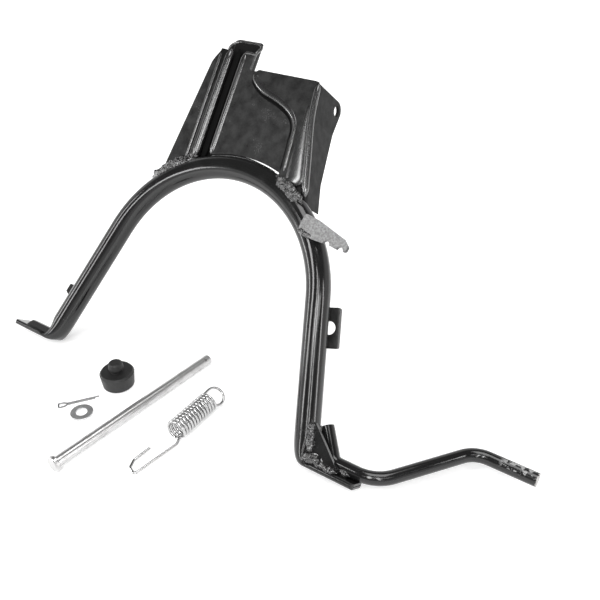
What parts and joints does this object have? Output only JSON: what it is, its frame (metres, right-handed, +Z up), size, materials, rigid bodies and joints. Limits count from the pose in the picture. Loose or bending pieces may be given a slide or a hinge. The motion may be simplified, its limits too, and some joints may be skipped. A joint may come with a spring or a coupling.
{
  "type": "motorcycle centre stand",
  "caption": "Welded tube centre stand with a sheet-metal pivot bracket, spring hook arm and bent kick lever, with its pivot pin, return spring and buffer laid out beside it.",
  "frame": {"origin": "on the pivot axis, midway between the tops of the two cheeks at the bracket's centre line", "axes": "+X along the pivot axis, from the left cheek to the right; +Z up; -Y is the side the stand faces. The stand keeps the leaning pose of the picture, 37 degrees back from upright."},
  "size_m": [0.5371, 0.3466, 0.2797],
  "materials": {
    "frame_paint": "gloss black paint over welded steel",
    "pin_steel": "bare satin steel",
    "zinc": "bright zinc plate",
    "spring_steel": "bright plated spring wire",
    "rubber": "matt black moulded rubber"
  },
  "bodies": {
    "root": {"arch_tube": "frame_paint", "bracket_left_cheek": "frame_paint", "bracket_right_cheek": "frame_paint", "bracket_channel": "frame_paint", "bracket_panel": "frame_paint", "spring_hook_arm": "frame_paint", "buffer_tab": "frame_paint", "stop_lug": "frame_paint", "left_foot": "frame_paint", "right_foot": "frame_paint", "foot_gusset": "frame_paint", "kick_lever": "frame_paint", "weld_left_cheek": "frame_paint", "weld_right_cheek": "frame_paint", "weld_hook_arm": "frame_paint", "weld_buffer_tab": "frame_paint", "weld_gusset_leg": "frame_paint", "weld_gusset_foot": "frame_paint", "weld_lever_foot": "frame_paint", "weld_lever_leg": "frame_paint", "left_foot_web": "frame_paint", "pivot_pin": "pin_steel", "pin_washer": "zinc", "split_pin": "zinc", "return_spring": "spring_steel", "rubber_buffer": "rubber"}
  },
  "joints": []
}
